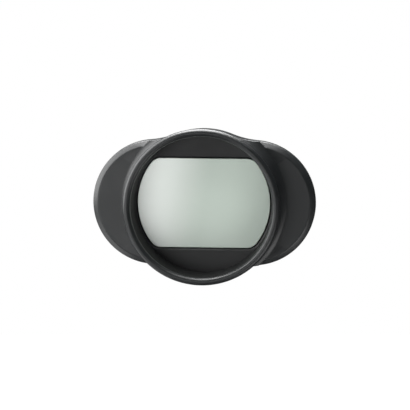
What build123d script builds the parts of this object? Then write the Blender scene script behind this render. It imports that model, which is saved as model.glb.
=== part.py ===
"""Slide-on magnifying eyepiece for a camera viewfinder, in millimetres.

A rubber eyecup with two side wings is screwed to a housing that carries a weak
two-lens telescope. A shoe on the housing's back slides down over the frame of the
viewfinder, where two leaf springs hold it.

The optical axis is the Y axis. The eye looks in from -Y and the camera is on the
+Y side. The seat plane, Y = 0, is the shoe's rear face, and every "level" below is
a distance in front of that plane, towards the eye. +Z is up.
"""

import os
from math import sqrt

from build123d import *

os.makedirs("parts", exist_ok=True)

# --- Eye lens, the size that the eyecup is built round -----------------------------
eye_lens_radius = 15.5
eye_lens_height = 21.0  # between the two flats
eye_lens_corner = 2.9
eye_lens_thickness = 2.7
eye_lens_hollow = 62.0  # radius of the hollow back face
lens_recess = 0.25  # lens face below the frame's face

# --- Lens frame -------------------------------------------------------------------
frame_rim = 1.0  # from the lens to the frame's edge, at the sides
frame_thickness = 1.4
frame_gap = 0.22  # open line round the lens
frame_chamfer = 0.3

# --- Eyecup -----------------------------------------------------------------------
wing_span = 52.0  # across both wings
wing_height = 29.3  # top to bottom; each wing ends in a half circle
wing_thickness = 3.0
wing_bevel = 1.2  # width of the bevel round the front edge
bevel_depth = 0.8
wing_edge_round = 0.4  # round on the back edge
frame_ledge = 0.4  # rubber that laps over the lens frame's edge
neck_wall = 0.9
neck_height = 8.0  # wing face to crest of the lip
well_draft = 0.2  # how much the well widens towards the lip
lip_width = 1.9
lip_depth = 2.8  # length of the lip along the axis
hump_step = 0.3  # round middle of the wings beyond the neck
hump_blend = 21.0  # hollow curve between the middle and each wing
flare_spread = 2.4  # foot of the neck beyond its wall
flare_height = 4.0
flare_hollow_reach = 0.22  # where the flare's hollow passes, as shares of its
flare_hollow_rise = 0.36  # spread and its height

# --- Housing ----------------------------------------------------------------------
housing_setback = 2.65  # wings beyond the housing, above and below
housing_corner = 2.5
housing_depth = 8.0  # shoe joint to the face under the eyecup
housing_edge_round = 0.3
tube_wall = 1.2  # plastic above and below the eye lens
flange_reach = 5.0  # flange beyond the body, at the sides
flange_thickness = 1.6
groove_count = 4  # anti-glare grooves in the light path
groove_width = 0.35
groove_depth = 0.3
groove_pitch = 0.8

# --- Objective end ----------------------------------------------------------------
objective_radius = 14.5
objective_height = 19.8  # between the two flats
objective_wall = 2.0  # least plastic beside the objective
objective_seat = 2.0  # retainer to baffle
objective_bulge = 48.0  # radius of the rear face
light_path_inset = 0.5  # light path inside the objective's edge
light_path_trim = 1.8
baffle_thickness = 0.5
eye_baffle_inset = 0.5  # eye baffle's edge inside the eye lens's
rear_baffle_inset = 0.25  # rear baffle's edge inside the objective's
eye_baffle_lip = 0.4  # each baffle's window inside the light path
rear_baffle_lip = 0.8
retainer_thickness = 1.2
retainer_lip = 1.6  # retainer over the objective, above and below
retainer_rim = 0.55  # retainer outside its window's corners
window_corner = 1.5

# --- Shoe -------------------------------------------------------------------------
shoe_depth = 6.0
channel_width = 25.4  # across the grooves that take the viewfinder's frame
channel_depth = 2.1  # along the optical axis
channel_wall = 4.3  # shoe outside the channel, at each side
rail_overhang = 1.5  # how far each rail stands over its groove
rail_thickness = 2.3
stop_thickness = 2.6  # top stop
lead_in = 0.8  # bevel at the foot of each rail
shoe_window_margin = 0.7  # channel floor beside the window
shoe_window_lip = 0.6  # shoe over the retainer's window, above and below
seal_width = 1.5
seal_thickness = 0.5
seal_groove_depth = 0.3

# --- Leaf springs -----------------------------------------------------------------
leaf_thickness = 0.3
leaf_width = 1.7
leaf_length = 11.2
leaf_pivot_reach = 1.3  # pivot outside the channel's side
leaf_crest = 0.45  # how far the leaf stands into the channel
leaf_root_radius = 0.5  # rolled end
leaf_swing = 0.5  # free space outside the rolled end's line
leaf_bend_start = 0.4  # shares of the length where the crest starts, peaks and ends
leaf_bend_peak = 0.6
leaf_bend_end = 0.8

# --- Screws -----------------------------------------------------------------------
shoe_screw_inset = 2.8  # from the housing's top and bottom
shoe_screw_radius = 0.8
shoe_screw_head_radius = 1.35
shoe_screw_sink = 0.3  # head below the rear face
shoe_screw_bite = 3.6  # length in the housing
wing_screw_spacing = 8.8
wing_screw_radius = 0.75
wing_screw_head_radius = 1.3
screw_head_height = 0.9
drive_radius = 0.45  # hexagon socket in each head
drive_depth = 0.5

# --- Wing stiffener ---------------------------------------------------------------
stiffener_thickness = 1.0
stiffener_margin = 1.5  # rubber round the plate

# --- Fits -------------------------------------------------------------------------
lens_fit = 0.1  # lens and baffle edges in their pockets
tube_fit = 0.1  # housing tube in the stiffener and the eyecup
rubber_fit = 0.05
screw_fit = 0.15  # plain holes round the screws
thread_fit = 0.03
leaf_fit = 0.1  # leaf and rolled end in the shoe

# --- Radii and outlines that follow -----------------------------------------------
frame_radius = eye_lens_radius + frame_rim
well_radius = frame_radius - frame_ledge
neck_radius = well_radius + neck_wall
hump_radius = neck_radius + hump_step
flare_radius = neck_radius + flare_spread
lip_inner_radius = well_radius + well_draft
lip_radius = lip_inner_radius + lip_width
wing_radius = wing_height / 2
wing_centre = wing_span / 2 - wing_radius
tube_radius = frame_radius - lens_fit
lens_pocket_height = eye_lens_height + 2 * lens_fit
tube_height = lens_pocket_height + 2 * tube_wall
light_path_radius = objective_radius - light_path_inset
light_path_height = objective_height - light_path_trim
eye_baffle_radius = eye_lens_radius - eye_baffle_inset
eye_baffle_height = eye_lens_height - 2 * eye_baffle_inset
rear_baffle_radius = objective_radius - rear_baffle_inset
rear_baffle_height = objective_height - 2 * rear_baffle_inset
retainer_window_height = objective_height - 2 * retainer_lip
window_corner_reach = objective_radius - retainer_rim
retainer_window_width = 2 * sqrt(window_corner_reach**2 - (retainer_window_height / 2) ** 2)
channel_reach = channel_width / 2 + channel_wall
housing_width = 2 * max(channel_reach, objective_radius + lens_fit + objective_wall)
housing_height = wing_height - 2 * housing_setback
side_reach = max(housing_width / 2, tube_radius + tube_fit)
flange_width = 2 * (side_reach + flange_reach)
rail_gap = channel_width - 2 * rail_overhang
shoe_window_width = rail_gap - 2 * shoe_window_margin
shoe_window_height = retainer_window_height - 2 * shoe_window_lip
shoe_foot = -housing_height / 2
stop_level = housing_height / 2 - stop_thickness
shoe_screw_x = (housing_width - channel_wall) / 2
shoe_screw_z = housing_height / 2 - shoe_screw_inset
wing_screw_x = side_reach + flange_reach / 2

# --- Levels, measured from the seat plane towards the eye -------------------------
channel_floor = rail_thickness + channel_depth
shoe_front = shoe_depth
objective_back = shoe_front + retainer_thickness
objective_front = objective_back + objective_seat
rear_baffle_front = objective_front + baffle_thickness
housing_front = shoe_front + housing_depth
flange_back = housing_front - flange_thickness
wing_front = housing_front + wing_thickness
flare_foot = wing_front - bevel_depth
frame_back = wing_front - frame_thickness
lip_crest = wing_front + neck_height
eye_lens_front = wing_front - lens_recess
eye_lens_back = eye_lens_front - eye_lens_thickness
eye_baffle_back = eye_lens_back - baffle_thickness

profile_plane = Plane(origin=(0, 0, 0), x_dir=(1, 0, 0), z_dir=(0, 0, -1))


def level(distance):
    """Return the plane at a level, facing the eye, with X across and Z up."""
    return Plane.XZ.offset(distance)


def flatted_disc(radius, height, corner=0.0):
    """Draw a disc with flats above and below, and return it for a sketch to add."""
    with BuildSketch(mode=Mode.PRIVATE) as disc:
        Circle(radius)
        Rectangle(2 * radius, height, mode=Mode.INTERSECT)
        if corner:
            fillet(disc.vertices(), corner)
    return disc.sketch


def wing_outline():
    """Draw both wings and the round middle between them, hollow curves included."""
    hump_reach = (hump_radius**2 - wing_radius**2 + wing_centre**2) / (2 * wing_centre)
    blend_x = hump_reach + hump_blend * (hump_radius - wing_radius) / wing_centre
    blend_z = sqrt((hump_radius + hump_blend) ** 2 - blend_x**2)
    on_hump = Vector(blend_x, blend_z).normalized() * hump_radius
    from_wing = Vector(blend_x - wing_centre, blend_z).normalized()
    on_wing = Vector(wing_centre, 0) + from_wing * wing_radius
    with BuildSketch(mode=Mode.PRIVATE) as outline:
        with BuildLine():
            RadiusArc((0, hump_radius), on_hump, hump_radius)
            RadiusArc(on_hump, on_wing, -hump_blend)
            RadiusArc(on_wing, (wing_span / 2, 0), wing_radius)
            mirror(about=Plane.XZ)
            mirror(about=Plane.YZ)
        make_face()
    return outline.sketch


# --- Eyecup: wings, flared neck and rolled lip, moulded in one --------------------
# The flare is a ring with a hollow outer face, trimmed to the wings' outline.
with BuildPart() as flare:
    with BuildSketch(profile_plane):
        with BuildLine():
            flare_top = wing_front + flare_height
            hollow_x = neck_radius + flare_hollow_reach * flare_spread
            hollow_level = wing_front + flare_hollow_rise * flare_height
            Polyline(
                (flare_radius, wing_front),
                (flare_radius, flare_foot),
                (well_radius, flare_foot),
                (well_radius, flare_top),
                (neck_radius, flare_top),
            )
            ThreePointArc(
                (neck_radius, flare_top),
                (hollow_x, hollow_level),
                (flare_radius, wing_front),
            )
        make_face()
    revolve(axis=Axis.Y)
    with BuildSketch(level(housing_front)):
        add(wing_outline())
    extrude(amount=wing_thickness + flare_height, mode=Mode.INTERSECT)

with BuildPart() as eyecup:
    with BuildSketch(level(housing_front)):
        add(wing_outline())
    extrude(amount=wing_thickness)
    wing_faces = eyecup.faces().sort_by(Axis.Y)
    chamfer(wing_faces[0].edges(), length=bevel_depth, length2=wing_bevel)
    fillet(eyecup.faces().sort_by(Axis.Y)[-1].edges(), wing_edge_round)
    add(flare.part)
    with BuildSketch(profile_plane):
        with BuildLine():
            lip_middle = (lip_radius + lip_inner_radius) / 2
            lip_side = lip_crest - lip_width / 2
            neck_end = lip_crest - lip_depth
            Line((well_radius, wing_front), (lip_inner_radius, lip_side))
            ThreePointArc(
                (lip_inner_radius, lip_side),
                (lip_middle, lip_crest),
                (lip_radius, lip_side),
            )
            TangentArc((lip_radius, lip_side), (neck_radius, neck_end), tangent=(0, -1))
            Polyline(
                (neck_radius, neck_end),
                (neck_radius, flare_foot),
                (well_radius, flare_foot),
                (well_radius, wing_front),
            )
        make_face()
    revolve(axis=Axis.Y)
    # the well's foot, the pocket for the lens frame, and the way in for the tube
    with BuildSketch(level(flare_foot)):
        Circle(well_radius)
    extrude(amount=bevel_depth, mode=Mode.SUBTRACT)
    with BuildSketch(level(frame_back)):
        Circle(frame_radius + rubber_fit)
    extrude(amount=frame_thickness, mode=Mode.SUBTRACT)
    with BuildSketch(level(housing_front)):
        add(flatted_disc(tube_radius + tube_fit, tube_height + 2 * tube_fit))
    extrude(amount=frame_back - housing_front, mode=Mode.SUBTRACT)
    with BuildSketch(level(housing_front)):
        SlotOverall(
            wing_span - 2 * stiffener_margin + 2 * rubber_fit,
            wing_height - 2 * stiffener_margin + 2 * rubber_fit,
        )
    extrude(amount=stiffener_thickness, mode=Mode.SUBTRACT)
eyecup.part.label = "eyecup"

# --- Wing stiffener: the plate that the wing screws pull on -----------------------
with BuildPart() as wing_stiffener:
    with BuildSketch(level(housing_front)):
        SlotOverall(wing_span - 2 * stiffener_margin, wing_height - 2 * stiffener_margin)
        add(
            flatted_disc(tube_radius + tube_fit, tube_height + 2 * tube_fit),
            mode=Mode.SUBTRACT,
        )
        with GridLocations(2 * wing_screw_x, wing_screw_spacing, 2, 2):
            Circle(wing_screw_radius + thread_fit, mode=Mode.SUBTRACT)
    extrude(amount=stiffener_thickness)
wing_stiffener.part.label = "wing_stiffener"

# --- Lens frame: the floor of the well round the eye lens -------------------------
with BuildPart() as lens_frame:
    with BuildSketch(level(frame_back)):
        Circle(frame_radius)
        add(
            flatted_disc(
                eye_lens_radius + frame_gap,
                eye_lens_height + 2 * frame_gap,
                eye_lens_corner + frame_gap,
            ),
            mode=Mode.SUBTRACT,
        )
    extrude(amount=frame_thickness)
    front_face = lens_frame.faces().sort_by(Axis.Y)[0]
    chamfer(front_face.inner_wires()[0].edges(), frame_chamfer)
lens_frame.part.label = "lens_frame"

# --- Eye lens: flat in front, hollow behind ---------------------------------------
with BuildPart() as eye_lens:
    with BuildSketch(level(eye_lens_back)):
        add(flatted_disc(eye_lens_radius, eye_lens_height, eye_lens_corner))
    extrude(amount=eye_lens_thickness)
    hollow_rim = sqrt(eye_lens_hollow**2 - eye_baffle_radius**2)
    with Locations((0, hollow_rim - eye_lens_back, 0)):
        Sphere(eye_lens_hollow, mode=Mode.SUBTRACT)
eye_lens.part.label = "eye_lens"

# --- Baffles: matt plates that stop stray light -----------------------------------
baffle_sizes = (
    ("eye_baffle", eye_baffle_back, eye_baffle_radius, eye_baffle_height, eye_baffle_lip),
    ("rear_baffle", objective_front, rear_baffle_radius, rear_baffle_height, rear_baffle_lip),
)
baffles = []
for name, back, radius, height, lip in baffle_sizes:
    with BuildPart() as baffle:
        with BuildSketch(level(back)):
            add(flatted_disc(radius, height))
            add(
                flatted_disc(light_path_radius - lip, light_path_height - 2 * lip),
                mode=Mode.SUBTRACT,
            )
        extrude(amount=baffle_thickness)
    baffle.part.label = name
    baffles.append(baffle)

# --- Objective lens: flat in front, bulged behind into the retainer's window ------
with BuildPart() as objective_lens:
    window_bulge = sqrt(objective_bulge**2 - (retainer_window_height / 2) ** 2)
    bulge_top = objective_back - (objective_bulge - window_bulge)
    with BuildSketch(level(bulge_top)):
        add(flatted_disc(objective_radius, objective_height))
    extrude(amount=objective_front - bulge_top)
    with Locations((0, -bulge_top - objective_bulge, 0)):
        Sphere(objective_bulge, mode=Mode.INTERSECT)
objective_lens.part.label = "objective_lens"

# --- Retainer: the frame that holds the objective in from behind ------------------
with BuildPart() as objective_retainer:
    with BuildSketch(level(shoe_front)):
        add(flatted_disc(objective_radius, objective_height))
        RectangleRounded(
            retainer_window_width,
            retainer_window_height,
            window_corner,
            mode=Mode.SUBTRACT,
        )
    extrude(amount=retainer_thickness)
objective_retainer.part.label = "objective_retainer"

# --- Housing: body, flange under the eyecup, and the tube that holds the eye lens -
with BuildPart() as housing:
    with BuildSketch(level(shoe_front)):
        RectangleRounded(housing_width, housing_height, housing_corner)
    extrude(amount=housing_depth)
    with BuildSketch(level(flange_back)):
        SlotOverall(flange_width, housing_height)
    extrude(amount=flange_thickness)
    with BuildSketch(level(housing_front)):
        add(flatted_disc(tube_radius, tube_height))
    extrude(amount=frame_back - housing_front)
    # seats for the eye lens and its baffle, cut from the front
    with BuildSketch(level(eye_lens_back)):
        add(flatted_disc(eye_lens_radius + lens_fit, lens_pocket_height))
    extrude(amount=frame_back - eye_lens_back, mode=Mode.SUBTRACT)
    with BuildSketch(level(eye_baffle_back)):
        add(flatted_disc(eye_baffle_radius + lens_fit, eye_baffle_height + 2 * lens_fit))
    extrude(amount=baffle_thickness, mode=Mode.SUBTRACT)
    # the light path with its grooves
    with BuildSketch(level(rear_baffle_front)):
        add(flatted_disc(light_path_radius, light_path_height))
    extrude(amount=eye_baffle_back - rear_baffle_front, mode=Mode.SUBTRACT)
    for groove in range(groove_count):
        with BuildSketch(level(rear_baffle_front + groove_width + groove * groove_pitch)):
            add(
                flatted_disc(
                    light_path_radius + groove_depth,
                    light_path_height + 2 * groove_depth,
                )
            )
        extrude(amount=groove_width, mode=Mode.SUBTRACT)
    # seats for the rear baffle, the objective and its retainer, cut from the back
    with BuildSketch(level(objective_front)):
        add(flatted_disc(rear_baffle_radius + lens_fit, rear_baffle_height + 2 * lens_fit))
    extrude(amount=baffle_thickness, mode=Mode.SUBTRACT)
    with BuildSketch(level(shoe_front)):
        add(flatted_disc(objective_radius + lens_fit, objective_height + 2 * lens_fit))
    extrude(amount=objective_front - shoe_front, mode=Mode.SUBTRACT)
    # screw holes
    with BuildSketch(level(shoe_front)):
        with GridLocations(2 * shoe_screw_x, 2 * shoe_screw_z, 2, 2):
            Circle(shoe_screw_radius + thread_fit)
    extrude(amount=shoe_screw_bite + screw_fit, mode=Mode.SUBTRACT)
    with BuildSketch(level(flange_back)):
        with GridLocations(2 * wing_screw_x, wing_screw_spacing, 2, 2):
            Circle(wing_screw_radius + screw_fit)
    extrude(amount=flange_thickness, mode=Mode.SUBTRACT)
housing.part.label = "housing"

# --- Shoe: the slide that takes the viewfinder's frame, open at its foot ----------
leaf_level = rail_thickness + 2 * leaf_fit
leaf_slot_level = rail_thickness + leaf_fit
leaf_pivot_x = channel_width / 2 + leaf_pivot_reach
leaf_pivot_z = -leaf_length / 2
slot_inner = rail_gap / 2 + leaf_thickness
slot_outer = leaf_pivot_x + leaf_root_radius + leaf_fit + leaf_swing
with BuildPart() as shoe:
    with BuildSketch(level(0)):
        RectangleRounded(housing_width, housing_height, housing_corner)
    extrude(amount=shoe_depth)
    fillet(shoe.faces().sort_by(Axis.Y)[-1].edges(), housing_edge_round)
    with BuildSketch(level(0)):
        with BuildLine():
            Polyline(
                (0, shoe_foot),
                (rail_gap / 2 + lead_in, shoe_foot),
                (rail_gap / 2, shoe_foot + lead_in),
                (rail_gap / 2, stop_level),
                (0, stop_level),
            )
            mirror(about=Plane.YZ)
        make_face()
    extrude(amount=channel_floor, mode=Mode.SUBTRACT)
    with BuildSketch(level(rail_thickness)):
        with Locations((0, (stop_level + shoe_foot) / 2)):
            Rectangle(channel_width, stop_level - shoe_foot)
    extrude(amount=channel_depth, mode=Mode.SUBTRACT)
    with BuildSketch(level(channel_floor)):
        RectangleRounded(shoe_window_width, shoe_window_height, window_corner)
    extrude(amount=shoe_front - channel_floor, mode=Mode.SUBTRACT)
    with BuildSketch(level(channel_floor)):
        RectangleRounded(
            shoe_window_width + 2 * seal_width,
            shoe_window_height + 2 * seal_width,
            window_corner + seal_width,
        )
    extrude(amount=seal_groove_depth, mode=Mode.SUBTRACT)
    # slots for the leaf springs: a round seat for the rolled end and room to bend
    for side in (-1, 1):
        with BuildSketch(level(leaf_slot_level)):
            with Locations((side * (slot_inner + slot_outer) / 2, 0)):
                Rectangle(slot_outer - slot_inner, leaf_length - 2 * leaf_root_radius)
        extrude(amount=channel_floor - leaf_slot_level, mode=Mode.SUBTRACT)
        with BuildSketch(level(leaf_slot_level)):
            with Locations((side * leaf_pivot_x, leaf_pivot_z)):
                Circle(leaf_root_radius + leaf_fit)
        extrude(amount=shoe_front - leaf_slot_level, mode=Mode.SUBTRACT)
    # screw holes with a sunk seat for each head
    with Locations(level(0).rotated((180, 0, 0))):
        with GridLocations(2 * shoe_screw_x, 2 * shoe_screw_z, 2, 2):
            CounterBoreHole(
                shoe_screw_radius + screw_fit,
                shoe_screw_head_radius + screw_fit,
                shoe_screw_sink + screw_head_height,
                shoe_depth,
            )
shoe.part.label = "shoe"

# --- Light seal: a soft frame round the shoe's window -----------------------------
with BuildPart() as light_seal:
    with BuildSketch(level(channel_floor + seal_groove_depth - seal_thickness)):
        RectangleRounded(
            shoe_window_width + 2 * seal_width - 2 * rubber_fit,
            shoe_window_height + 2 * seal_width - 2 * rubber_fit,
            window_corner + seal_width - rubber_fit,
        )
        RectangleRounded(
            shoe_window_width + 2 * rubber_fit,
            shoe_window_height + 2 * rubber_fit,
            window_corner,
            mode=Mode.SUBTRACT,
        )
    extrude(amount=seal_thickness)
light_seal.part.label = "light_seal"

# --- Leaf springs: one on each side of the channel --------------------------------
leaf_line_x = channel_width / 2 + leaf_thickness
leaf_peak_x = channel_width / 2 - leaf_crest + leaf_thickness / 2
leaf_tip_z = leaf_pivot_z + leaf_length - 2 * leaf_root_radius
leaf_springs = []
for side, name in ((-1, "leaf_spring_left"), (1, "leaf_spring_right")):
    with BuildPart() as leaf_spring:
        with BuildSketch(level(leaf_level)):
            with BuildLine():
                root = (side * leaf_pivot_x, leaf_pivot_z)
                bend_foot = (side * leaf_line_x, leaf_pivot_z + leaf_bend_start * leaf_length)
                bend_peak = (side * leaf_peak_x, leaf_pivot_z + leaf_bend_peak * leaf_length)
                bend_top = (side * leaf_line_x, leaf_pivot_z + leaf_bend_end * leaf_length)
                Line(root, bend_foot)
                ThreePointArc(bend_foot, bend_peak, bend_top)
                Line(bend_top, (side * (leaf_line_x + leaf_thickness), leaf_tip_z))
            trace(line_width=leaf_thickness)
        extrude(amount=leaf_width)
        with BuildSketch(level(leaf_level)):
            with Locations(root):
                Circle(leaf_root_radius)
        extrude(amount=shoe_front - leaf_level - leaf_fit)
    leaf_spring.part.label = name
    leaf_springs.append(leaf_spring)

# --- Screws, each kind in one piece with its own pattern --------------------------
shoe_screw_spots = ((2 * shoe_screw_x, 2 * shoe_screw_z), shoe_screw_sink)
wing_screw_spots = ((2 * wing_screw_x, wing_screw_spacing), flange_back - screw_head_height)
screw_sizes = (
    (
        "shoe_screws",
        shoe_screw_spots,
        shoe_screw_radius,
        shoe_screw_head_radius,
        shoe_front + shoe_screw_bite,
    ),
    (
        "wing_screws",
        wing_screw_spots,
        wing_screw_radius,
        wing_screw_head_radius,
        housing_front + stiffener_thickness,
    ),
)
screws = []
for name, (spacing, head_back), shank_radius, head_radius, tip in screw_sizes:
    with BuildPart() as screw_set:
        with BuildSketch(level(head_back)):
            with GridLocations(*spacing, 2, 2):
                Circle(head_radius)
        extrude(amount=screw_head_height)
        with BuildSketch(level(head_back)):
            with GridLocations(*spacing, 2, 2):
                Circle(shank_radius)
        extrude(amount=tip - head_back)
        with BuildSketch(level(head_back)):
            with GridLocations(*spacing, 2, 2):
                RegularPolygon(drive_radius, 6)
        extrude(amount=drive_depth, mode=Mode.SUBTRACT)
    screw_set.part.label = name
    screws.append(screw_set)

# --- Write one file for each piece ------------------------------------------------
pieces = [
    eyecup,
    wing_stiffener,
    lens_frame,
    eye_lens,
    *baffles,
    housing,
    objective_lens,
    objective_retainer,
    shoe,
    light_seal,
    *leaf_springs,
    *screws,
]
for piece in pieces:
    export_step(piece.part, f"parts/{piece.part.label}.step")
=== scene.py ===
"""Studio scene of a slide-on magnifying eyepiece for a camera viewfinder.

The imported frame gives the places. Every piece here is drawn in millimetres about the
optical axis and turned to metres as its mesh is made. A "reach" is a distance from the
optical axis, and a "level" is a distance in front of the shoe's rear face, towards the
eye, so a point at an angle has X = reach * cos, Y = -level and Z = reach * sin.
"""

from __future__ import annotations

import logging
import math
from collections.abc import Callable, Sequence
from dataclasses import dataclass
from enum import Enum

import bmesh
import bpy
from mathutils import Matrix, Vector

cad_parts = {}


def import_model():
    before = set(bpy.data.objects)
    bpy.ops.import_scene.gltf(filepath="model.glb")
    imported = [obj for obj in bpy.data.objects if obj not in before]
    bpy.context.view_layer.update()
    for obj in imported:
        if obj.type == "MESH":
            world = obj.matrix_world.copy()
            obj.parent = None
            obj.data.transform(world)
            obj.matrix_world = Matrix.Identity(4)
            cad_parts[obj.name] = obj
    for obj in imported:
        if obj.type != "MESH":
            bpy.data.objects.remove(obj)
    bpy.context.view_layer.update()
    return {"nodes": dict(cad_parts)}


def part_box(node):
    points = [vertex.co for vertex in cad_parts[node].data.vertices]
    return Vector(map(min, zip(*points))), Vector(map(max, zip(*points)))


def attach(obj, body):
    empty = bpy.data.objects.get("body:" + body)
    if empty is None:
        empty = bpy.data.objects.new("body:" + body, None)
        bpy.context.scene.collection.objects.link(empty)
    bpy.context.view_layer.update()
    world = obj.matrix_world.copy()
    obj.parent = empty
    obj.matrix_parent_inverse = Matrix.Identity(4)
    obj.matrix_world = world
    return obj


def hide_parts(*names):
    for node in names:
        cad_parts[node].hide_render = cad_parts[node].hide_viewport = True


MM = 0.001
EYEPIECE_BODY = "eyepiece"
FINE_SEGMENTS = 720
COARSE_SEGMENTS = 480
SCREW_SEGMENTS = 96
CORNER_STEPS = 4
LONGEST_ROUNDING = 0.45  # the share of a side that one rounding may take
SOFTENED_ANGLE = math.radians(40)  # edges sharper than this are softened
WELD_DISTANCE = 0.0005 * MM

Outline = Callable[[float], float]
Corner = tuple[float, float, float]
Point = tuple[float, float]

log = logging.getLogger("eyepiece")


# --- Outlines -----------------------------------------------------------------------


def to_circle(angle: float, centre: Point, radius: float, near: bool = False) -> float:
    """Measure from the axis to a circle, along an angle.

    Args:
        angle: direction, in radians, from +X towards +Z.
        centre: the circle's centre.
        radius: the circle's radius.
        near: whether to stop at the near side, for a circle beside the axis.

    Returns:
        The reach, in millimetres.
    """
    along = centre[0] * math.cos(angle) + centre[1] * math.sin(angle)
    inside = radius**2 - centre[0] ** 2 - centre[1] ** 2 + along**2
    half_chord = math.sqrt(max(inside, 0.0))
    return along - half_chord if near else along + half_chord


def first_quarter(angle: float) -> float:
    """Fold an angle into the first quarter, where every outline here repeats."""
    return math.atan2(abs(math.sin(angle)), abs(math.cos(angle)))


@dataclass(frozen=True)
class Circle:
    """A plain round outline."""

    radius: float

    def reach(self, angle: float) -> float:
        """Return the radius, whatever the angle."""
        return self.radius


@dataclass(frozen=True)
class FlattedDisc:
    """A disc with a flat above and below, and rounded corners between."""

    radius: float
    height: float
    corner: float = 0.01

    def reach(self, angle: float) -> float:
        """Return the reach of the outline at an angle."""
        turn = first_quarter(angle)
        corner_z = self.height / 2 - self.corner
        corner_x = math.sqrt((self.radius - self.corner) ** 2 - corner_z**2)
        if turn <= math.atan2(corner_z, corner_x):
            return self.radius
        if turn <= math.atan2(self.height / 2, corner_x):
            return to_circle(turn, (corner_x, corner_z), self.corner)
        return self.height / 2 / math.sin(turn)


@dataclass(frozen=True)
class RoundedBox:
    """A rectangle with round corners. With corners of half its height it is a slot."""

    width: float
    height: float
    corner: float

    def reach(self, angle: float) -> float:
        """Return the reach of the outline at an angle."""
        turn = first_quarter(angle)
        corner_x = self.width / 2 - self.corner
        corner_z = self.height / 2 - self.corner
        if turn <= math.atan2(corner_z, self.width / 2):
            return self.width / 2 / math.cos(turn)
        if turn <= math.atan2(self.height / 2, corner_x):
            return to_circle(turn, (corner_x, corner_z), self.corner)
        return self.height / 2 / math.sin(turn)


@dataclass(frozen=True)
class Hexagon:
    """The outline of a socket for a hexagon key."""

    corner_reach: float

    def reach(self, angle: float) -> float:
        """Return the reach of the outline at an angle."""
        sector = math.radians(60)
        from_middle = (angle % sector) - sector / 2
        return self.corner_reach * math.cos(sector / 2) / math.cos(from_middle)


@dataclass(frozen=True)
class WingOutline:
    """Both wings and the round middle between them, with hollow curves where they meet."""

    span: float
    height: float
    hump_radius: float
    blend_radius: float

    def reach(self, angle: float, inset: float = 0.0) -> float:
        """Measure from the axis to the outline, along an angle.

        Args:
            angle: direction, in radians.
            inset: how far inside the real outline to measure.

        Returns:
            The reach, in millimetres.
        """
        turn = first_quarter(angle)
        wing = self.height / 2
        centre = self.span / 2 - wing
        meet = (self.hump_radius**2 - wing**2 + centre**2) / (2 * centre)
        blend_x = meet + self.blend_radius * (self.hump_radius - wing) / centre
        blend_z = math.sqrt((self.hump_radius + self.blend_radius) ** 2 - blend_x**2)
        to_blend = Vector((blend_x - centre, blend_z)).normalized() * (wing - inset)
        on_wing = Vector((centre, 0.0)) + to_blend
        if turn >= math.atan2(blend_z, blend_x):
            return self.hump_radius - inset
        if turn >= math.atan2(on_wing.y, on_wing.x):
            return to_circle(turn, (blend_x, blend_z), self.blend_radius + inset, near=True)
        return to_circle(turn, (centre, 0.0), wing - inset)


# --- Meshes turned about the axis -----------------------------------------------------


def round_corners(corners: Sequence[Corner], closed: bool) -> list[Point]:
    """Round each corner of a section, with the same number of points every time.

    Args:
        corners: reach, level and rounding of each corner.
        closed: whether the last corner joins the first.

    Returns:
        The points of the rounded section.
    """
    points: list[Point] = []
    count = len(corners)
    for index, (reach, level, rounding) in enumerate(corners):
        if rounding == 0.0:
            points.append((reach, level))
            continue
        here = Vector((reach, level))
        before = Vector(corners[(index - 1) % count][:2]) - here
        after = Vector(corners[(index + 1) % count][:2]) - here
        if not closed and index in (0, count - 1):
            points.append((reach, level))
            continue
        start = here + before.normalized() * min(rounding, before.length * LONGEST_ROUNDING)
        end = here + after.normalized() * min(rounding, after.length * LONGEST_ROUNDING)
        for step in range(CORNER_STEPS + 1):
            share = step / CORNER_STEPS
            side = start.lerp(here, share)
            point = side.lerp(here.lerp(end, share), share)
            points.append((point.x, point.y))
    return points


def turn_section(
    name: str,
    section: Callable[[float], list[Point]],
    closed: bool,
    segments: int = COARSE_SEGMENTS,
) -> bpy.types.Object:
    """Carry a section once round the optical axis, changing its shape as it goes.

    Args:
        name: name of the new piece.
        section: gives the section's points at an angle, always as many.
        closed: True for a ring. False for a section that starts and ends on the axis.
        segments: how many sections there are round the axis.

    Returns:
        The piece, linked to the scene, with its faces outwards.
    """
    shell = bmesh.new()
    rings = []
    for index in range(segments):
        angle = 2 * math.pi * index / segments
        ring = [
            shell.verts.new((r * math.cos(angle) * MM, -level * MM, r * math.sin(angle) * MM))
            for r, level in section(angle)
        ]
        rings.append(ring)
    rows = len(rings[0])
    for index, ring in enumerate(rings):
        following = rings[(index + 1) % segments]
        for row in range(rows if closed else rows - 1):
            below = (row + 1) % rows
            shell.faces.new((ring[row], following[row], following[below], ring[below]))
    bmesh.ops.remove_doubles(shell, verts=shell.verts, dist=WELD_DISTANCE)
    bmesh.ops.dissolve_degenerate(shell, edges=shell.edges, dist=WELD_DISTANCE)
    bmesh.ops.recalc_face_normals(shell, faces=shell.faces)
    mesh = bpy.data.meshes.new(name)
    shell.to_mesh(mesh)
    shell.free()
    mesh.shade_smooth()
    piece = bpy.data.objects.new(name, mesh)
    bpy.context.scene.collection.objects.link(piece)
    return piece


def even_out_shading(piece: bpy.types.Object) -> None:
    """Keep the flat faces flat beside their rounded edges."""
    normals = piece.modifiers.new("even shading", "WEIGHTED_NORMAL")
    normals.keep_sharp = True


# --- Finishes -------------------------------------------------------------------------


def colour(code: str) -> tuple[float, float, float, float]:
    """Turn an sRGB hex colour into linear red, green, blue and alpha."""
    parts = [int(code[index : index + 2], 16) / 255 for index in (1, 3, 5)]
    linear = [c / 12.92 if c <= 0.04045 else ((c + 0.055) / 1.055) ** 2.4 for c in parts]
    return (linear[0], linear[1], linear[2], 1.0)


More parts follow.
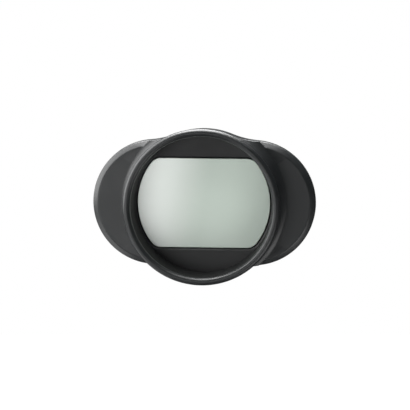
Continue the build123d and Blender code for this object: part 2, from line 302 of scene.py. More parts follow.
def add_node(
    tree: bpy.types.NodeTree,
    kind: str,
    settings: dict[str, object] | None = None,
    inputs: dict[str | int, object] | None = None,
) -> bpy.types.Node:
    """Add a node with its settings, and set or link its inputs.

    Args:
        tree: the tree that takes the node.
        kind: the node's type name.
        settings: attributes of the node.
        inputs: a value, or another node's output, for each input socket.

    Returns:
        The new node.
    """
    node = tree.nodes.new(kind)
    for name, value in (settings or {}).items():
        setattr(node, name, value)
    for key, value in (inputs or {}).items():
        if isinstance(value, bpy.types.NodeSocket):
            tree.links.new(value, node.inputs[key])
        else:
            node.inputs[key].default_value = value
    return node


def set_ramp(ramp: bpy.types.Node, stops: Sequence[tuple[float, str]]) -> None:
    """Give a colour ramp its stops, each a place and an sRGB hex colour."""
    elements = ramp.color_ramp.elements
    while len(elements) < len(stops):
        elements.new(1.0)
    for element, (place, code) in zip(elements, stops):
        element.position = place
        element.color = colour(code)


# The part of a cloud noise's range over which the colour and the gloss change.
CLOUD_LOW = 0.3
CLOUD_HIGH = 0.7


class Grain(Enum):
    """How a surface was made, as the size of its grain in millimetres."""

    MOULDED = 0.35
    SPARKED = 0.45
    ROLLED = 0.30
    FOAMED = 0.60


@dataclass(frozen=True)
class Finish:
    """A surface: its colours, its gloss and its grain.

    Fields:
        name: the material's common name.
        dark: sRGB colour of the darker cloud.
        light: sRGB colour of the lighter cloud.
        roughness: middle value of the gloss; it wanders a little either way.
        grain: how the surface was made.
        grain_depth: height of the grain in millimetres.
        metallic: 1 for bare metal.
        ior: index of refraction, left alone on a metal.
        specular: strength of the mirror-like part, where 0.5 is the usual one.
        stretch: how much longer the grain is along X, as on rolled metal.
        cloud_size: size of the clouds of colour, in millimetres.
        roughness_wander: how far the gloss wanders to either side of its middle value.
    """

    name: str
    dark: str
    light: str
    roughness: float
    grain: Grain
    grain_depth: float
    metallic: float = 0.0
    ior: float = 1.5
    specular: float = 0.5
    stretch: float = 1.0
    cloud_size: float = 9.0
    roughness_wander: float = 0.06

    def make(self) -> bpy.types.Material:
        """Build the material and return it."""
        material = bpy.data.materials.new(self.name)
        material.use_nodes = True
        tree = material.node_tree
        shader = tree.nodes["Principled BSDF"]
        place = add_node(tree, "ShaderNodeTexCoord")
        squeezed = add_node(
            tree,
            "ShaderNodeMapping",
            inputs={"Vector": place.outputs["Object"], "Scale": (1 / self.stretch, 1.0, 1.0)},
        )
        cloud = add_node(
            tree,
            "ShaderNodeTexNoise",
            inputs={
                "Vector": squeezed.outputs["Vector"],
                "Scale": 1 / (self.cloud_size * MM),
                "Detail": 5.0,
                "Roughness": 0.6,
            },
        )
        tint = add_node(tree, "ShaderNodeValToRGB", inputs={"Fac": cloud.outputs["Fac"]})
        set_ramp(tint, ((CLOUD_LOW, self.dark), (CLOUD_HIGH, self.light)))
        tree.links.new(tint.outputs["Color"], shader.inputs["Base Color"])
        gloss = add_node(
            tree,
            "ShaderNodeMapRange",
            inputs={
                "Value": cloud.outputs["Fac"],
                "From Min": CLOUD_LOW,
                "From Max": CLOUD_HIGH,
                "To Min": self.roughness - self.roughness_wander,
                "To Max": self.roughness + self.roughness_wander,
            },
        )
        tree.links.new(gloss.outputs["Result"], shader.inputs["Roughness"])
        grain = add_node(
            tree,
            "ShaderNodeTexNoise",
            inputs={
                "Vector": squeezed.outputs["Vector"],
                "Scale": 1 / (self.grain.value * MM),
                "Detail": 3.0,
            },
        )
        bump = add_node(
            tree,
            "ShaderNodeBump",
            inputs={
                "Height": grain.outputs["Fac"],
                "Strength": 0.6,
                "Distance": self.grain_depth * MM,
            },
        )
        tree.links.new(bump.outputs["Normal"], shader.inputs["Normal"])
        shader.inputs["Metallic"].default_value = self.metallic
        shader.inputs["Specular IOR Level"].default_value = self.specular
        if not self.metallic:
            shader.inputs["IOR"].default_value = self.ior
        return material


# Silicone rubber from a satin mould: near black with a soft, broad sheen.
SILICONE_RUBBER = Finish(
    "silicone_rubber", "#111314", "#161819", 0.36, Grain.MOULDED, 0.004, ior=1.48
)
# The same rubber, matt off a blasted core, for the well's wall; its darker colour and weak
# reflection are painted shade for the deep well.
MATT_RUBBER_PAINTED_SHADE = Finish(
    "matt_rubber_painted_shade", "#0D0E0E", "#111212", 0.75, Grain.MOULDED, 0.014, specular=0.2
)
# ABS from a finely sparked mould: black, a little duller than the rubber.
SPARKED_ABS = Finish("sparked_abs", "#111213", "#161718", 0.50, Grain.SPARKED, 0.020)
# Nylon with glass fibre: dark grey, with a faint mottle where the fibres lie.
FILLED_NYLON = Finish("glass_filled_nylon", "#242527", "#2E3032", 0.46, Grain.SPARKED, 0.022)
# Optical black paint on thin brass: almost no light comes back.
OPTICAL_BLACK = Finish("optical_black_paint", "#0B0B0C", "#101011", 0.85, Grain.MOULDED, 0.012)
# Blackened steel plate: dark, with a dull metal glint.
BLACK_STEEL = Finish(
    "blackened_steel", "#242425", "#2F2F31", 0.40, Grain.ROLLED, 0.006, 0.85, stretch=3.0
)
# Stainless spring strip: bright, with fine lines along the roll.
SPRING_STEEL = Finish(
    "stainless_strip", "#B4B2AD", "#C8C6C1", 0.28, Grain.ROLLED, 0.004, 1.0, stretch=8.0
)
# Black oxide on screw steel: near black with an oily sheen.
BLACK_OXIDE = Finish("black_oxide_steel", "#1B1B1D", "#2A2A2C", 0.32, Grain.ROLLED, 0.004, 0.9)
# Open-cell foam: dead black and pitted.
SEAL_FOAM = Finish(
    "open_cell_foam", "#0D0D0D", "#191919", 0.95, Grain.FOAMED, 0.12, cloud_size=2.0
)


@dataclass(frozen=True)
class GlassWithPaintedReflection:
    """Lens glass with painted reflection: a pale grey-green base colour, a faint real tint plus
    painted light of the white surround, with painted shade to the right.

    Fields:
        name: the material's common name.
        bright: sRGB colour at the left of the lens, where the painted reflection is lightest.
        deep: sRGB colour at the right, where painted shade darkens it.
        run: distance in millimetres over which one becomes the other.
        middle: where the change is half done, in millimetres to the right of the axis.
        direction: the way in which the painted shade deepens, mostly to the right.
        roughness: how soft the mirrored light is.
        ior: index of refraction of the glass.
    """

    name: str
    bright: str
    deep: str
    run: float
    middle: float = 0.0
    direction: tuple[float, float, float] = (0.98, 0.0, -0.20)
    roughness: float = 0.24
    ior: float = 1.52

    def make(self) -> bpy.types.Material:
        """Build the material and return it."""
        material = bpy.data.materials.new(self.name)
        material.use_nodes = True
        tree = material.node_tree
        shader = tree.nodes["Principled BSDF"]
        place = add_node(tree, "ShaderNodeTexCoord")
        slope = add_node(
            tree,
            "ShaderNodeVectorMath",
            {"operation": "DOT_PRODUCT"},
            {0: place.outputs["Object"], 1: self.direction},
        )
        share = add_node(
            tree,
            "ShaderNodeMapRange",
            {"interpolation_type": "SMOOTHSTEP"},
            {
                "Value": slope.outputs["Value"],
                "From Min": (self.middle - self.run / 2) * MM,
                "From Max": (self.middle + self.run / 2) * MM,
            },
        )
        # The ramp paints light and shade on the glass: lighter at the left, darker at the right.
        painted_reflection_ramp = add_node(tree, "ShaderNodeValToRGB", inputs={"Fac": share.outputs["Result"]})
        set_ramp(painted_reflection_ramp, ((0.0, self.bright), (1.0, self.deep)))
        tree.links.new(painted_reflection_ramp.outputs["Color"], shader.inputs["Base Color"])
        shader.inputs["Roughness"].default_value = self.roughness
        shader.inputs["IOR"].default_value = self.ior
        return material


# Both lenses carry painted reflection: pale base colours that darken towards the right stand in
# for reflected light and shade.
EYE_PAINTED_REFLECTION = GlassWithPaintedReflection("eye_glass_painted_reflection", "#E2E8E3", "#A9B4AB", 14.0, -6.0)
OBJECTIVE_PAINTED_REFLECTION = GlassWithPaintedReflection("objective_glass_painted_reflection", "#8FA39B", "#5E6F69", 30.0)


# --- Pieces ---------------------------------------------------------------------------


def dress(
    piece: bpy.types.Object,
    material: bpy.types.Material,
    node: str,
    body: str = EYEPIECE_BODY,
) -> bpy.types.Object:
    """Give a finished piece its material and its place in the frame.

    Args:
        piece: the new piece.
        material: its finish.
        node: the frame's node that it stands for.
        body: the body that it rides on.

    Returns:
        The same piece.
    """
    piece.data.materials.clear()
    piece.data.materials.append(material)
    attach(piece, body)
    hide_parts(node)
    log.info("%s stands for %s, %d faces", piece.name, node, len(piece.data.polygons))
    return piece


@dataclass(frozen=True)
class ScrewSizes:
    """The sizes of one kind of screw, in millimetres."""

    head_radius: float
    head_height: float
    shank_radius: float


SHOE_SCREW = ScrewSizes(1.35, 0.9, 0.8)
WING_SCREW = ScrewSizes(1.3, 0.9, 0.75)
# The hole through the rubber and the stiffener, which the housing's tube fills.
TUBE_HOLE = FlattedDisc(16.5, 23.8)


@dataclass
class Levels:
    """The levels where pieces meet, in millimetres, read from the frame's nodes."""

    shoe_front: float
    flange_back: float
    wing_back: float
    frame_back: float
    wing_front: float
    lip_crest: float

    @classmethod
    def from_frame(cls) -> Levels:
        """Read the levels from the boxes of the nodes that set them."""
        return cls(
            shoe_front=-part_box("shoe")[0].y / MM,
            flange_back=-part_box("wing_screws")[1].y / MM + WING_SCREW.head_height,
            wing_back=-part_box("eyecup")[1].y / MM,
            frame_back=-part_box("lens_frame")[1].y / MM,
            wing_front=-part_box("lens_frame")[0].y / MM,
            lip_crest=-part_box("eyecup")[0].y / MM,
        )


@dataclass
class EyecupMoulding:
    """Rubber moulding: two wings, a flared neck and a rolled lip round a deep well."""

    levels: Levels
    span: float
    lip_radius: float
    height: float = 29.3
    hump_radius: float = 17.3
    blend_radius: float = 21.0
    bevel: float = 1.2
    bevel_depth: float = 0.8
    back_round: float = 0.4
    lip_width: float = 1.8
    lip_depth: float = 2.8
    neck_radius: float = 17.0
    well_radius: float = 16.1
    flare_radius: float = 19.4
    flare_height: float = 4.0
    hollow_reach: float = 0.22
    hollow_rise: float = 0.36
    pocket_margin: float = 1.45
    pocket_depth: float = 1.0
    tube_outline: FlattedDisc = TUBE_HOLE
    frame_pocket: float = 16.55
    edge: float = 0.25
    lip_points: int = 24
    flare_points: int = 12

    def flare_level(self, reach: float) -> float:
        """Return the level of the flare's hollow face at a reach from the axis."""
        (centre_x, centre_y), radius = self.flare_circle()
        return centre_y - math.sqrt(max(radius**2 - (reach - centre_x) ** 2, 0.0))

    def flare_circle(self) -> tuple[Point, float]:
        """Return the centre and radius of the circle through the flare's three points."""
        spread = self.flare_radius - self.neck_radius
        ax, ay = self.neck_radius, self.levels.wing_front + self.flare_height
        bx = self.neck_radius + self.hollow_reach * spread
        by = self.levels.wing_front + self.hollow_rise * self.flare_height
        cx, cy = self.flare_radius, self.levels.wing_front
        twice = 2 * (ax * (by - cy) + bx * (cy - ay) + cx * (ay - by))
        a2, b2, c2 = ax**2 + ay**2, bx**2 + by**2, cx**2 + cy**2
        x = (a2 * (by - cy) + b2 * (cy - ay) + c2 * (ay - by)) / twice
        y = (a2 * (cx - bx) + b2 * (ax - cx) + c2 * (bx - ax)) / twice
        return (x, y), math.hypot(ax - x, ay - y)

    def lip(self) -> list[Corner]:
        """Draw the rolled lip, from inside the well to the end of the neck."""
        half = self.lip_width / 2
        middle = self.lip_radius - half
        side = self.levels.lip_crest - half
        points: list[Corner] = []
        for step in range(self.lip_points + 1):
            turn = math.pi * (1 - step / self.lip_points)
            points.append((middle + half * math.cos(turn), side + half * math.sin(turn), 0.0))
        end = self.levels.lip_crest - self.lip_depth
        drop = side - end
        step_in = self.lip_radius - self.neck_radius
        for step in range(1, self.flare_points + 1):
            share = step / self.flare_points
            inward = step_in * share**2 * (3 - 2 * share)
            points.append((self.lip_radius - inward, side - drop * share, 0.0))
        return points

    def section(self, angle: float) -> list[Point]:
        """Draw the moulding's whole section at an angle, well first, as a closed ring."""
        outline = WingOutline(self.span, self.height, self.hump_radius, self.blend_radius)
        edge = outline.reach(angle)
        bevel_start = outline.reach(angle, self.bevel)
        front, back = self.levels.wing_front, self.levels.wing_back
        bevel_level = front - self.bevel_depth
        pocket = RoundedBox(
            self.span - 2 * self.pocket_margin,
            self.height - 2 * self.pocket_margin,
            self.height / 2 - self.pocket_margin,
        ).reach(angle)
        tube = self.tube_outline.reach(angle)
        corners: list[Corner] = [(self.well_radius, front, 0.0), *self.lip()]
        foot = min(self.flare_radius, edge)
        for step in range(self.flare_points + 1):
            reach = self.neck_radius + (foot - self.neck_radius) * step / self.flare_points
            corners.append((reach, self.flare_level(reach), 0.0))
        if bevel_start >= self.flare_radius:
            corners.append((bevel_start, front, self.edge))
        else:
            rise = self.bevel_depth * (edge - foot) / (edge - bevel_start)
            corners.append((foot, bevel_level + rise, self.edge))
        corners.append((edge, bevel_level, self.edge))
        corners.append((edge, back, self.back_round))
        corners.append((pocket, back, self.edge))
        corners.append((pocket, back + self.pocket_depth, 0.0))
        corners.append((tube, back + self.pocket_depth, 0.0))
        corners.append((tube, self.levels.frame_back, 0.0))
        corners.append((self.frame_pocket, self.levels.frame_back, 0.0))
        corners.append((self.frame_pocket, front, 0.0))
        return round_corners(corners, closed=True)

    def make(self) -> bpy.types.Object:
        """Build the moulding, and dress it in rubber, with matt rubber and painted shade on the
        well's wall.
        """
        piece = turn_section("eyecup_moulding", self.section, True, FINE_SEGMENTS)
        even_out_shading(piece)
        dress(piece, SILICONE_RUBBER.make(), "eyecup")
        piece.data.materials.append(MATT_RUBBER_PAINTED_SHADE.make())
        # Faces on the well's wall take the matt rubber, whose darker colour and weak reflection
        # paint the well's shade.
        painted_shade_end = self.levels.lip_crest - self.lip_width / 2
        for face in piece.data.polygons:
            reach = math.hypot(face.center.x, face.center.z) / MM
            level = -face.center.y / MM
            in_well = reach < self.lip_radius - self.lip_width + self.edge
            if in_well and self.levels.wing_front <= level < painted_shade_end:
                face.material_index = 1
        return piece


@dataclass
class RingPiece:
    """A flat piece with a hole, between two levels, with rounded edges.

    Fields:
        name: name of the new piece.
        outer: its outer outline.
        inner: the outline of its hole.
        back: its back level, in millimetres.
        front: its front level, in millimetres.
        edge: rounding of the outer edges.
        hole_chamfer: width of the chamfer round the front of the hole.
    """

    name: str
    outer: Outline
    inner: Outline
    back: float
    front: float
    edge: float = 0.12
    hole_chamfer: float = 0.0

    def section(self, angle: float) -> list[Point]:
        """Draw the piece's section at an angle, as a closed ring."""
        outer, inner = self.outer(angle), self.inner(angle)
        chamfer = self.hole_chamfer
        corners: list[Corner] = [(inner, self.back, self.edge)]
        if chamfer:
            corners.append((inner, self.front - chamfer, chamfer / 4))
        corners.append((inner + chamfer, self.front, chamfer / 4 or self.edge))
        corners.append((outer, self.front, self.edge))
        corners.append((outer, self.back, self.edge))
        return round_corners(corners, closed=True)

    def make(self, finish: Finish, node: str, slot: str) -> bpy.types.Object:
        """Build the piece and dress it.

        Args:
            finish: its surface.
            node: the frame's node that it stands for.
            slot: the record's material slot; not used.

        Returns:
            The finished piece.
        """
        piece = turn_section(self.name, self.section, True)
        even_out_shading(piece)
        return dress(piece, finish.make(), node)


@dataclass
class Lens:
    """A lens with flats above and below, a flat front and a hollow or bulged back.

    Fields:
        name: name of the new piece.
        outline: its outline.
        front: level of the flat front, in millimetres.
        back: level of the back on the axis, in millimetres.
        curve: radius of the back, positive where it bulges and negative where it is hollow.
        edge: width of the ground edge.
    """

    name: str
    outline: FlattedDisc
    front: float
    back: float
    curve: float
    edge: float = 0.15
    rows: int = 24

    def back_level(self, reach: float) -> float:
        """Return the level of the back at a reach from the axis."""
        sag = abs(self.curve) - math.sqrt(self.curve**2 - reach**2)
        return self.back + math.copysign(sag, self.curve)

    def section(self, angle: float) -> list[Point]:
        """Draw half of the lens's section at an angle, from its front to its back."""
        reach = self.outline.reach(angle)
        corners: list[Corner] = [(0.0, self.front, 0.0)]
        corners.append((reach - self.edge, self.front, 0.0))
        corners.append((reach, self.front - self.edge, 0.0))
        corners.append((reach, self.back_level(reach), 0.0))
        for row in range(1, self.rows):
            inward = reach * (1 - row / self.rows)
            corners.append((inward, self.back_level(inward), 0.0))
        corners.append((0.0, self.back, 0.0))
        return round_corners(corners, closed=False)

    def make(self, painted_glass: GlassWithPaintedReflection, node: str, slot: str) -> bpy.types.Object:
        """Build the lens and dress it.

        Args:
            painted_glass: its surface, glass whose colour is painted reflection.
            node: the frame's node that it stands for.
            slot: the record's material slot; not used.

        Returns:
            The finished lens.
        """
        piece = turn_section(self.name, self.section, False)
        even_out_shading(piece)
        return dress(piece, painted_glass.make(), node)


@dataclass
class OpticalStack:
    """Everything that the light meets: lens frame, lenses, baffles and retainer."""

    levels: Levels
    eye_radius: float = 15.5
    eye_height: float = 21.0
    eye_corner: float = 2.9
    eye_recess: float = 0.25
    eye_hollow: float = 62.0
    frame_gap: float = 0.22
    frame_chamfer: float = 0.3
    frame_radius: float = 16.5
    objective_radius: float = 14.5
    objective_height: float = 19.8
    objective_bulge: float = 48.0
    light_radius: float = 14.0
    light_height: float = 18.0
    eye_baffle_lip: float = 0.4
    rear_baffle_lip: float = 0.8
    retainer_window: RoundedBox = RoundedBox(22.4, 16.6, 1.5)

    def make_lens_frame(self) -> None:
        """Build the plate on the floor of the well, with its chamfered opening."""
        opening = FlattedDisc(
            self.eye_radius + self.frame_gap,
            self.eye_height + 2 * self.frame_gap,
            self.eye_corner + self.frame_gap,
        )
        RingPiece(
            "lens_frame_plate",
            Circle(self.frame_radius).reach,
            opening.reach,
            self.levels.frame_back,
            self.levels.wing_front,
            hole_chamfer=self.frame_chamfer,
        ).make(SPARKED_ABS, "lens_frame", "frame_plastic")

    def make_lenses(self) -> None:
        """Build the eye lens and the objective."""
        eye_rim = -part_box("eye_lens")[1].y / MM
        hollow = self.eye_hollow - math.sqrt(self.eye_hollow**2 - self.eye_radius**2)
        Lens(
            "eye_lens_glass",
            FlattedDisc(self.eye_radius, self.eye_height, self.eye_corner),
            self.levels.wing_front - self.eye_recess,
            eye_rim + hollow,
            -self.eye_hollow,
        ).make(EYE_PAINTED_REFLECTION, "eye_lens", "eye_glass")
        Lens(
            "objective_glass",
            FlattedDisc(self.objective_radius, self.objective_height),
            -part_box("objective_lens")[0].y / MM,
            -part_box("objective_lens")[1].y / MM,
            self.objective_bulge,
        ).make(OBJECTIVE_PAINTED_REFLECTION, "objective_lens", "objective_glass")

    def make_baffles(self) -> None:
        """Build the two baffles and the retainer."""
        lips = {"eye_baffle": self.eye_baffle_lip, "rear_baffle": self.rear_baffle_lip}
        for name, lip in lips.items():
            low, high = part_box(name)
            RingPiece(
                f"{name}_foil",
                FlattedDisc(high.x / MM, 2 * high.z / MM).reach,
                FlattedDisc(self.light_radius - lip, self.light_height - 2 * lip).reach,
                -high.y / MM,
                -low.y / MM,
                edge=0.05,
            ).make(OPTICAL_BLACK, name, "baffle_foil")
        low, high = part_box("objective_retainer")
        RingPiece(
            "objective_retainer_frame",
            FlattedDisc(self.objective_radius, self.objective_height).reach,
            self.retainer_window.reach,
            -high.y / MM,
            -low.y / MM,
        ).make(SPARKED_ABS, "objective_retainer", "frame_plastic")


@dataclass
class HousingBody:
    """The body behind the wings, with its flange, its tube and the grooved light path."""

    levels: Levels
    width: float
    height: float
    flange_width: float
    corner: float = 2.5
    edge: float = 0.35
    tube_radius: float = 16.4
    tube_height: float = 23.6
    lens_pocket: FlattedDisc = FlattedDisc(15.6, 21.2)
    light_path: FlattedDisc = FlattedDisc(14.0, 18.0)
    objective_pocket: FlattedDisc = FlattedDisc(14.6, 20.0)
    lens_seat: float = 13.55
    objective_front: float = 9.7
    groove_count: int = 4
    groove_width: float = 0.35
    groove_depth: float = 0.3
    groove_pitch: float = 0.8

    def section(self, angle: float) -> list[Point]:
        """Draw the body's section at an angle, from the light path outwards."""
        body = RoundedBox(self.width, self.height, self.corner).reach(angle)
        slot_corner = self.height / 2
        flange = RoundedBox(self.flange_width, self.height, slot_corner).reach(angle)
        flange = max(flange, body)
        tube = FlattedDisc(self.tube_radius, self.tube_height).reach(angle)
        pocket = self.lens_pocket.reach(angle)
        path = self.light_path.reach(angle)
        rear = self.objective_pocket.reach(angle)
        corners: list[Corner] = [
            (rear, self.levels.shoe_front, 0.0),
            (rear, self.objective_front, 0.0),
            (path, self.objective_front, 0.0),
        ]
        for groove in range(self.groove_count):
            start = self.objective_front + self.groove_width + groove * self.groove_pitch
            corners.append((path, start, 0.0))
            corners.append((path + self.groove_depth, start, 0.0))
            corners.append((path + self.groove_depth, start + self.groove_width, 0.0))
            corners.append((path, start + self.groove_width, 0.0))
        corners.append((path, self.lens_seat, 0.0))
        corners.append((pocket, self.lens_seat, 0.0))
        corners.append((pocket, self.levels.frame_back, 0.0))
        corners.append((tube, self.levels.frame_back, 0.0))
        corners.append((tube, self.levels.wing_back, 0.0))
        corners.append((flange, self.levels.wing_back, self.edge))
        corners.append((flange, self.levels.flange_back, self.edge))
        corners.append((body, self.levels.flange_back, 0.0))
        corners.append((body, self.levels.shoe_front, 0.08))
        return round_corners(corners, closed=True)

    def make(self) -> bpy.types.Object:
        """Build the housing and dress it in sparked ABS."""
        piece = turn_section("housing_body", self.section, True, FINE_SEGMENTS)
        even_out_shading(piece)
        return dress(piece, SPARKED_ABS.make(), "housing")


@dataclass
class ScrewSet:
    """Four like screws with hexagon sockets, on the corners of a rectangle."""

    name: str
    node: str
    sizes: ScrewSizes
    socket: Hexagon = Hexagon(0.45)
    socket_depth: float = 0.5
    socket_edge: float = 0.06
    edge: float = 0.14
    under_edge: float = 0.03

    def __post_init__(self) -> None:
        """Read the screws' ends and spacing from the frame's node."""
        low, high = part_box(self.node)
        self.back = -high.y / MM
        self.tip = -low.y / MM
        self.spacing_x = 2 * (high.x / MM - self.sizes.head_radius)
        self.spacing_z = 2 * (high.z / MM - self.sizes.head_radius)

    def section(self, angle: float) -> list[Point]:
        """Draw half of a screw's section at an angle, from its socket to its tip."""
        back, tip = self.back, self.tip
        under_head = back + self.sizes.head_height
        head, shank = self.sizes.head_radius, self.sizes.shank_radius
        socket = self.socket.reach(angle)
        corners: list[Corner] = [
            (0.0, back + self.socket_depth, 0.0),
            (socket, back + self.socket_depth, 0.0),
            (socket, back, self.socket_edge),
            (head, back, self.edge),
            (head, under_head, self.under_edge),
            (shank, under_head, 0.0),
            (shank, tip, self.edge),
            (0.0, tip, 0.0),
        ]
        return round_corners(corners, closed=False)

    def pattern_tree(self) -> bpy.types.NodeTree:
        """Build the node tree that sets one screw on each corner of a rectangle."""
        tree = bpy.data.node_groups.new("screw_pattern", "GeometryNodeTree")
        sockets = tree.interface
        sockets.new_socket("Geometry", in_out="OUTPUT", socket_type="NodeSocketGeometry")
        sockets.new_socket("Screw", in_out="INPUT", socket_type="NodeSocketObject")
        sockets.new_socket("Spacing X", in_out="INPUT", socket_type="NodeSocketFloat")
        sockets.new_socket("Spacing Z", in_out="INPUT", socket_type="NodeSocketFloat")
        sockets.new_socket("Finish", in_out="INPUT", socket_type="NodeSocketMaterial")
        given = add_node(tree, "NodeGroupInput")
        grid = add_node(
            tree,
            "GeometryNodeMeshGrid",
            inputs={
                "Size X": given.outputs["Spacing X"],
                "Size Y": given.outputs["Spacing Z"],
                "Vertices X": 2,
                "Vertices Y": 2,
            },
        )
        upright = add_node(
            tree,
            "GeometryNodeTransform",
            inputs={
                "Geometry": grid.outputs["Mesh"],
                "Rotation": (math.radians(90), 0.0, 0.0),
            },
        )
        screw = add_node(tree, "GeometryNodeObjectInfo", inputs={"Object": given.outputs["Screw"]})
        placed = add_node(
            tree,
            "GeometryNodeInstanceOnPoints",
            inputs={
                "Points": upright.outputs["Geometry"],
                "Instance": screw.outputs["Geometry"],
            },
        )
        real = add_node(
            tree, "GeometryNodeRealizeInstances", inputs={"Geometry": placed.outputs["Instances"]}
        )
        finished = add_node(
            tree,
            "GeometryNodeSetMaterial",
            inputs={
                "Geometry": real.outputs["Geometry"],
                "Material": given.outputs["Finish"],
            },
        )
        add_node(tree, "NodeGroupOutput", inputs={"Geometry": finished.outputs["Geometry"]})
        return tree

    def make(self) -> bpy.types.Object:
        """Build the four screws as one mesh and dress them in black oxide."""
        screw = turn_section(f"{self.name}_one", self.section, False, SCREW_SEGMENTS)
        finish = BLACK_OXIDE.make()
        tree = self.pattern_tree()
        holder = bpy.data.objects.new(f"{self.name}_holder", bpy.data.meshes.new("holder"))
        bpy.context.scene.collection.objects.link(holder)
        pattern = holder.modifiers.new("screw pattern", "NODES")
        pattern.node_group = tree
        values = {
            "Screw": screw,
            "Spacing X": self.spacing_x * MM,
            "Spacing Z": self.spacing_z * MM,
            "Finish": finish,
        }
        for item in tree.interface.items_tree:
            if item.in_out == "INPUT":
                pattern[item.identifier] = values[item.name]
        depsgraph = bpy.context.evaluated_depsgraph_get()
        mesh = bpy.data.meshes.new_from_object(holder.evaluated_get(depsgraph))
        bpy.data.objects.remove(holder)
        bpy.data.objects.remove(screw)
        mesh.name = self.name
        piece = bpy.data.objects.new(self.name, mesh)
        bpy.context.scene.collection.objects.link(piece)
        even_out_shading(piece)
        return dress(piece, finish, self.node)


@dataclass
class Shoe:
    """The slide on the housing's back, its foam seal and its two leaf springs."""

    nodes: dict[str, bpy.types.Object]
    window: RoundedBox = RoundedBox(21.1, 15.5, 1.5)
    seal: RoundedBox = RoundedBox(23.9, 18.3, 2.95)
    edge_round: float = 0.12
    leaf_edge_round: float = 0.04

    def soften(self, name: str, finish: Finish, width: float) -> None:
        """Round a frame node's sharp edges and give it its finish.

        Args:
            name: the frame's node.
            finish: its surface.
            width: width of the rounding, in millimetres.
        """
        node = self.nodes[name]
        weld = node.modifiers.new("weld", "WELD")
        weld.merge_threshold = WELD_DISTANCE
        bevel = node.modifiers.new("soft edges", "BEVEL")
        bevel.width = width * MM
        bevel.segments = 2
        bevel.limit_method = "ANGLE"
        bevel.angle_limit = SOFTENED_ANGLE
        bevel.harden_normals = False
        even_out_shading(node)
        node.data.materials.clear()
        node.data.materials.append(finish.make())
        log.info("%s keeps its shape, with %.2f mm edges", name, width)

    def make(self) -> None:
        """Finish the slide and the springs, and build the seal."""
        self.soften("shoe", FILLED_NYLON, self.edge_round)
        self.soften("leaf_spring_left", SPRING_STEEL, self.leaf_edge_round)
        self.soften("leaf_spring_right", SPRING_STEEL, self.leaf_edge_round)
        low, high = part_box("light_seal")
        RingPiece(
            "light_seal_foam",
            self.seal.reach,
            self.window.reach,
            -high.y / MM,
            -low.y / MM,
        ).make(SEAL_FOAM, "light_seal", "seal_foam")


# --- Studio -----------------------------------------------------------------------------


@dataclass(frozen=True)
class Softbox:
    """A soft light that points at the eyepiece.

    Fields:
        name: name of the light.
        place: its middle, in metres.
        width: its size from side to side, in metres.
        height: its size from top to bottom, in metres.
        brightness: what a camera would see in it, where 1 is white.
    """

    name: str
    place: tuple[float, float, float]
    width: float
    height: float
    brightness: float

    def make(self, target: Vector) -> None:
        """Place the light and turn it to the target."""
        data = bpy.data.lights.new(self.name, "AREA")
        data.shape = "RECTANGLE"
        data.size = self.width
        data.size_y = self.height
        data.energy = self.brightness * math.pi * self.width * self.height
        light = bpy.data.objects.new(self.name, data)
        bpy.context.scene.collection.objects.link(light)
        light.visible_camera = False
        light.location = self.place
        light.rotation_mode = "QUATERNION"
        light.rotation_quaternion = (target - light.location).to_track_quat("-Z", "Y")


# A card at the front left, a softbox at the left side, three overhead, one low on the
# left, and a fill from the lower right. The places and sizes were chosen. The brightness
# values began as a scratch program's least-squares answer; they were then rounded, and
# some were changed by hand.
SOFTBOXES = (
    Softbox("front_card", (-0.20, -0.50, -0.06), 0.34, 0.26, 2.5),
    Softbox("side_softbox", (-0.42, -0.06, 0.17), 0.50, 0.52, 6.6),
    Softbox("upper_softbox", (-0.03, -0.20, 0.46), 0.46, 0.30, 4.0),
    Softbox("top_softbox", (-0.04, 0.02, 0.48), 0.50, 0.30, 14.0),
    Softbox("rim_softbox", (-0.06, 0.16, 0.46), 0.50, 0.36, 10.0),
    Softbox("low_softbox", (-0.32, -0.10, -0.28), 0.30, 0.30, 2.6),
    Softbox("fill_card", (0.25, -0.30, -0.28), 0.26, 0.22, 3.4),
)
# The camera aims a little to the right of the axis and below it, in metres.
AIM_RIGHT = 0.00029
AIM_UP = -0.00042


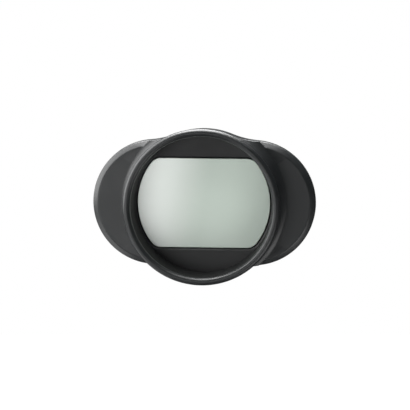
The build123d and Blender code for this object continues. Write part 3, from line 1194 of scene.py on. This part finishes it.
@dataclass
class Studio:
    """White surround, pale floor, softboxes and the camera.

    Fields:
        target: the place that the camera and the lights point at.
        azimuth: how far the camera stands to the right, in degrees.
        elevation: how far it stands above, in degrees.
        lens: its focal length, in millimetres.
        frame_width: width of the view at the target, in metres.
        surround_radius: size of the white shell and the floor, in metres.
        floor_drop: depth of the floor below the eyepiece, in metres.
        floor_glow: light that the floor gives of its own, where 1 is white.
        world_strength: strength of the even fill light.
    """

    target: Vector
    azimuth: float = 5.0
    elevation: float = 8.0
    lens: float = 250.0
    frame_width: float = 0.0954
    surround_radius: float = 2.0
    floor_drop: float = 0.4
    floor_glow: float = 0.95
    world_strength: float = 0.05

    def make_camera(self) -> None:
        """Point the camera at the eyepiece from a little to the right and above."""
        data = bpy.data.cameras.new("camera")
        data.lens = self.lens
        camera = bpy.data.objects.new("camera", data)
        bpy.context.scene.collection.objects.link(camera)
        turn, lift = math.radians(self.azimuth), math.radians(self.elevation)
        back = Vector(
            (
                math.sin(turn) * math.cos(lift),
                -math.cos(turn) * math.cos(lift),
                math.sin(lift),
            )
        )
        distance = self.frame_width / data.sensor_width * self.lens
        camera.location = self.target + back * distance
        camera.rotation_mode = "QUATERNION"
        camera.rotation_quaternion = (-back).to_track_quat("-Z", "Y")
        bpy.context.scene.camera = camera

    def white_glow(self) -> bpy.types.Material:
        """Make a plain white that gives its own light."""
        material = bpy.data.materials.new("white_surround")
        material.use_nodes = True
        tree = material.node_tree
        tree.nodes.remove(tree.nodes["Principled BSDF"])
        glow = add_node(tree, "ShaderNodeEmission", inputs={"Strength": 1.0})
        tree.links.new(glow.outputs["Emission"], tree.nodes["Material Output"].inputs["Surface"])
        return material

    def make_surround(self) -> None:
        """Set a white shell all round, seen by the camera and lighting nothing."""
        bpy.ops.mesh.primitive_uv_sphere_add(
            segments=64, ring_count=32, radius=self.surround_radius
        )
        shell = bpy.context.active_object
        shell.name = "white_surround"
        shell.data.materials.append(self.white_glow())
        shell.visible_diffuse = False
        shell.visible_glossy = False
        shell.visible_transmission = False
        shell.visible_shadow = False
        bpy.ops.mesh.primitive_circle_add(
            vertices=96, radius=self.surround_radius, fill_type="NGON"
        )
        floor = bpy.context.active_object
        floor.name = "pale_floor"
        floor.data.transform(floor.matrix_world)
        for vertex in floor.data.vertices:
            vertex.co.z -= self.floor_drop
        material = bpy.data.materials.new("pale_floor")
        material.use_nodes = True
        shader = material.node_tree.nodes["Principled BSDF"]
        shader.inputs["Base Color"].default_value = colour("#F4F4F4")
        shader.inputs["Roughness"].default_value = 0.9
        shader.inputs["Emission Color"].default_value = colour("#FFFFFF")
        shader.inputs["Emission Strength"].default_value = self.floor_glow
        floor.data.materials.append(material)
        floor.visible_glossy = False
        floor.visible_shadow = False

    def make_world(self) -> None:
        """Fill the shadows with a little even light."""
        world = bpy.data.worlds.new("fill")
        world.use_nodes = True
        background = world.node_tree.nodes["Background"]
        background.inputs["Color"].default_value = colour("#FFFFFF")
        background.inputs["Strength"].default_value = self.world_strength
        bpy.context.scene.world = world
        bpy.context.scene.view_settings.view_transform = "Standard"

    def make(self) -> None:
        """Build the whole studio."""
        self.make_world()
        self.make_surround()
        for softbox in SOFTBOXES:
            softbox.make(self.target)
        self.make_camera()
        log.info("studio ready")


# --- The whole eyepiece -----------------------------------------------------------------


def make_stiffener() -> None:
    """Build the steel plate let into the back of the wings."""
    low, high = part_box("wing_stiffener")
    RingPiece(
        "wing_stiffener_plate",
        RoundedBox(2 * high.x / MM, 2 * high.z / MM, high.z / MM).reach,
        TUBE_HOLE.reach,
        -high.y / MM,
        -low.y / MM,
        edge=0.08,
    ).make(BLACK_STEEL, "wing_stiffener", "stiffener_steel")


def main() -> None:
    """Load the frame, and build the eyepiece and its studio."""
    logging.basicConfig(level=logging.INFO, format="%(name)s: %(message)s")
    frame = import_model()
    levels = Levels.from_frame()
    eyecup_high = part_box("eyecup")[1]
    shoe_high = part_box("shoe")[1]
    housing_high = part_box("housing")[1]

    EyecupMoulding(levels, span=2 * eyecup_high.x / MM, lip_radius=eyecup_high.z / MM).make()
    optics = OpticalStack(levels)
    optics.make_lens_frame()
    optics.make_lenses()
    optics.make_baffles()
    HousingBody(
        levels,
        width=2 * shoe_high.x / MM,
        height=2 * shoe_high.z / MM,
        flange_width=2 * housing_high.x / MM,
    ).make()
    make_stiffener()
    Shoe(frame["nodes"]).make()
    ScrewSet("shoe_screw_set", "shoe_screws", SHOE_SCREW).make()
    ScrewSet("wing_screw_set", "wing_screws", WING_SCREW).make()
    Studio(target=Vector((AIM_RIGHT, -levels.wing_front * MM, AIM_UP))).make()


if __name__ == "__main__":
    main()
